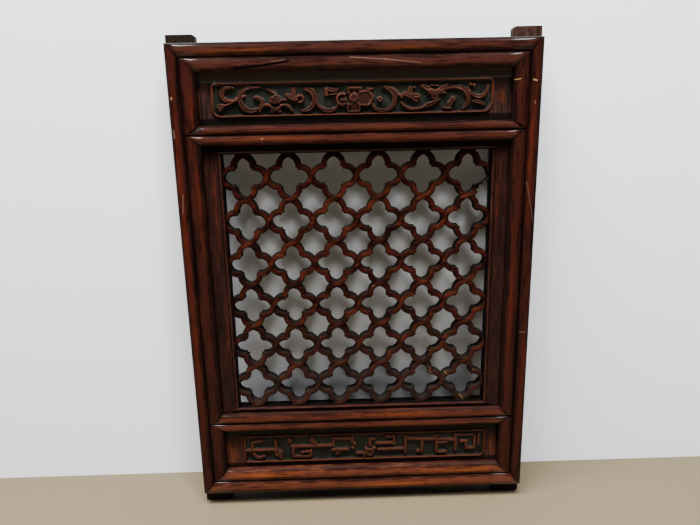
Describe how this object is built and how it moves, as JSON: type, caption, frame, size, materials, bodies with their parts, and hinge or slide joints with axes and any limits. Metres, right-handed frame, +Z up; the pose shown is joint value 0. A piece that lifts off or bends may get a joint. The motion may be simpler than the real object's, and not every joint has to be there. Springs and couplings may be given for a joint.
{
  "type": "carved wooden window panel",
  "caption": "Flat wooden panel with a double-reeded frame round an open lattice of quatrefoil blossoms, between a vine-carved board above and a fret-carved board below.",
  "frame": {"origin": "on the flat back of the top rail, at the rail's middle, where the panel bears on the wall", "axes": "+Y out of the back into the wall, so the carved face looks along -Y; +Z up along the stiles; +X towards the viewer's right as the face is looked at"},
  "size_m": [0.635, 0.04, 0.8924],
  "materials": {
    "frame_lacquer": "worn red-brown lacquer on wood, glossy",
    "inner_frame_lacquer": "dark red-brown lacquer on wood, satin",
    "lattice_lacquer": "red-brown lacquer on wood, darker on its sides, satin",
    "carved_lacquer": "dark lacquered carving with reddish ridges over a green-black ground, satin"
  },
  "bodies": {
    "root": {"stile_left": "frame_lacquer", "stile_right": "frame_lacquer", "rail_top": "frame_lacquer", "rail_upper": "frame_lacquer", "rail_lower": "frame_lacquer", "rail_bottom": "frame_lacquer", "inner_frame_top": "inner_frame_lacquer", "inner_frame_bottom": "inner_frame_lacquer", "inner_frame_left": "inner_frame_lacquer", "inner_frame_right": "inner_frame_lacquer", "carved_board_upper": "carved_lacquer", "carved_board_lower": "carved_lacquer", "lattice_rising_01": "lattice_lacquer", "lattice_rising_02": "lattice_lacquer", "lattice_rising_03": "lattice_lacquer", "lattice_rising_04": "lattice_lacquer", "lattice_rising_05": "lattice_lacquer", "lattice_rising_06": "lattice_lacquer", "lattice_rising_07": "lattice_lacquer", "lattice_rising_08": "lattice_lacquer", "lattice_rising_09": "lattice_lacquer", "lattice_rising_10": "lattice_lacquer", "lattice_rising_11": "lattice_lacquer", "lattice_rising_12": "lattice_lacquer", "lattice_falling_01": "lattice_lacquer", "lattice_falling_02": "lattice_lacquer", "lattice_falling_03": "lattice_lacquer", "lattice_falling_04": "lattice_lacquer", "lattice_falling_05": "lattice_lacquer", "lattice_falling_06": "lattice_lacquer", "lattice_falling_07": "lattice_lacquer", "lattice_falling_08": "lattice_lacquer", "lattice_falling_09": "lattice_lacquer", "lattice_falling_10": "lattice_lacquer", "lattice_falling_11": "lattice_lacquer", "lattice_falling_12": "lattice_lacquer"}
  },
  "joints": []
}
